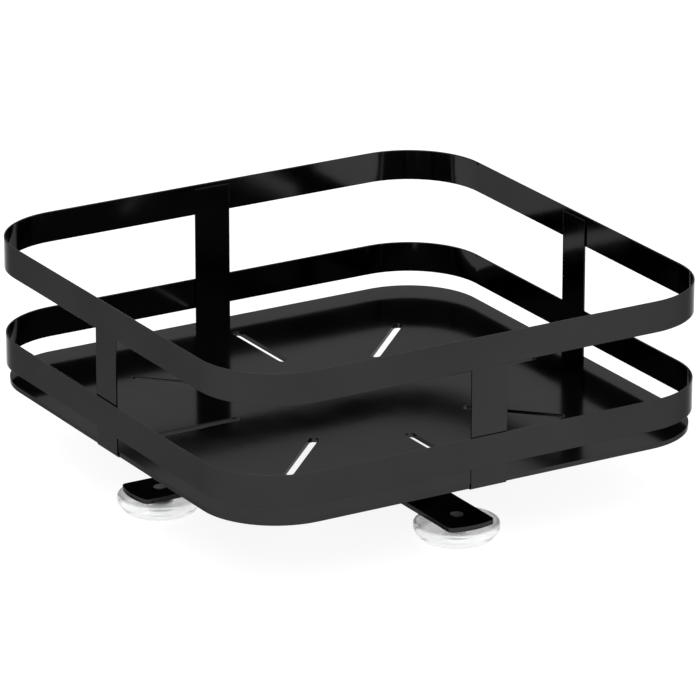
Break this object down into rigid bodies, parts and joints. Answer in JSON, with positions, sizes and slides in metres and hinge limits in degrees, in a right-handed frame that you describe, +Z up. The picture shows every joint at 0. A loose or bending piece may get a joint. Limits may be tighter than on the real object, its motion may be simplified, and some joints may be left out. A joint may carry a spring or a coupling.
{
  "type": "cpu holder",
  "caption": "Square open basket with two flat-bar rails over a slotted tray, turning on a ball race above a cross of flat bars on adjustable round feet.",
  "frame": {"origin": "on the floor, under the middle of the basket: the centre of the bounding box's underside", "axes": "+Z up, along the swivel axis; +X to the right side and -Y to the front, square to the rails' straight sides"},
  "size_m": [0.34, 0.34, 0.141],
  "materials": {
    "black_gloss_paint": "gloss black powder coat",
    "black_steel": "black oxide, satin",
    "zinc_steel": "zinc plate, grey",
    "clear_pad": "clear to milky moulded plastic, gloss",
    "race_steel": "galvanised, dull",
    "ball_steel": "polished",
    "cage_plastic": "matt black moulded plastic"
  },
  "bodies": {
    "base": {"lower_race": "race_steel", "arm_left_right": "black_gloss_paint", "arm_front_back": "black_gloss_paint", "arm_screws": "zinc_steel", "arm_nuts": "zinc_steel", "arm_spacers": "zinc_steel", "foot_nut_right": "black_steel", "foot_nut_back": "black_steel", "foot_nut_left": "black_steel", "foot_nut_front": "black_steel"},
    "basket": {"upper_rail": "black_gloss_paint", "lower_rail": "black_gloss_paint", "tray": "black_gloss_paint", "upper_race": "race_steel", "pivot": "race_steel", "upright_right": "black_gloss_paint", "upright_back": "black_gloss_paint", "upright_left": "black_gloss_paint", "upright_front": "black_gloss_paint"},
    "ball_ring": {"ball_cage": "cage_plastic", "balls": "ball_steel"},
    "foot_stud_right": {"foot_stud_right": "zinc_steel"},
    "foot_pad_right": {"foot_pad_right": "clear_pad"},
    "foot_stud_back": {"foot_stud_back": "zinc_steel"},
    "foot_pad_back": {"foot_pad_back": "clear_pad"},
    "foot_stud_left": {"foot_stud_left": "zinc_steel"},
    "foot_pad_left": {"foot_pad_left": "clear_pad"},
    "foot_stud_front": {"foot_stud_front": "zinc_steel"},
    "foot_pad_front": {"foot_pad_front": "clear_pad"}
  },
  "joints": [
    {"name": "basket_swivel", "type": "hinge", "parent": "base", "child": "basket", "pos_m": [0, 0, 0.04], "axis": [0, 0, 1], "continuous": true},
    {"name": "ball_ring_turn", "type": "hinge", "parent": "base", "child": "ball_ring", "pos_m": [0, 0, 0.04], "axis": [0, 0, 1], "continuous": true},
    {"name": "foot_right_height", "type": "slide", "parent": "base", "child": "foot_pad_right", "axis": [0, 0, -1], "range_m": [0, 0.005]},
    {"name": "foot_right_turn", "type": "hinge", "parent": "foot_pad_right", "child": "foot_stud_right", "pos_m": [0.1325, 0, 0.003], "axis": [0, 0, -1], "range_deg": [0, 1440]},
    {"name": "foot_back_height", "type": "slide", "parent": "base", "child": "foot_pad_back", "axis": [0, 0, -1], "range_m": [0, 0.005]},
    {"name": "foot_back_turn", "type": "hinge", "parent": "foot_pad_back", "child": "foot_stud_back", "pos_m": [0, 0.1325, 0.003], "axis": [0, 0, -1], "range_deg": [0, 1440]},
    {"name": "foot_left_height", "type": "slide", "parent": "base", "child": "foot_pad_left", "axis": [0, 0, -1], "range_m": [0, 0.005]},
    {"name": "foot_left_turn", "type": "hinge", "parent": "foot_pad_left", "child": "foot_stud_left", "pos_m": [-0.1325, 0, 0.003], "axis": [0, 0, -1], "range_deg": [0, 1440]},
    {"name": "foot_front_height", "type": "slide", "parent": "base", "child": "foot_pad_front", "axis": [0, 0, -1], "range_m": [0, 0.005]},
    {"name": "foot_front_turn", "type": "hinge", "parent": "foot_pad_front", "child": "foot_stud_front", "pos_m": [0, -0.1325, 0.003], "axis": [0, 0, -1], "range_deg": [0, 1440]}
  ],
  "couplings": [
    {"joint": "ball_ring_turn", "follows": "basket_swivel", "ratio": 0.5},
    {"joint": "foot_right_turn", "follows": "foot_right_height", "rad_per_m": 5026.5},
    {"joint": "foot_back_turn", "follows": "foot_back_height", "rad_per_m": 5026.5},
    {"joint": "foot_left_turn", "follows": "foot_left_height", "rad_per_m": 5026.5},
    {"joint": "foot_front_turn", "follows": "foot_front_height", "rad_per_m": 5026.5}
  ]
}
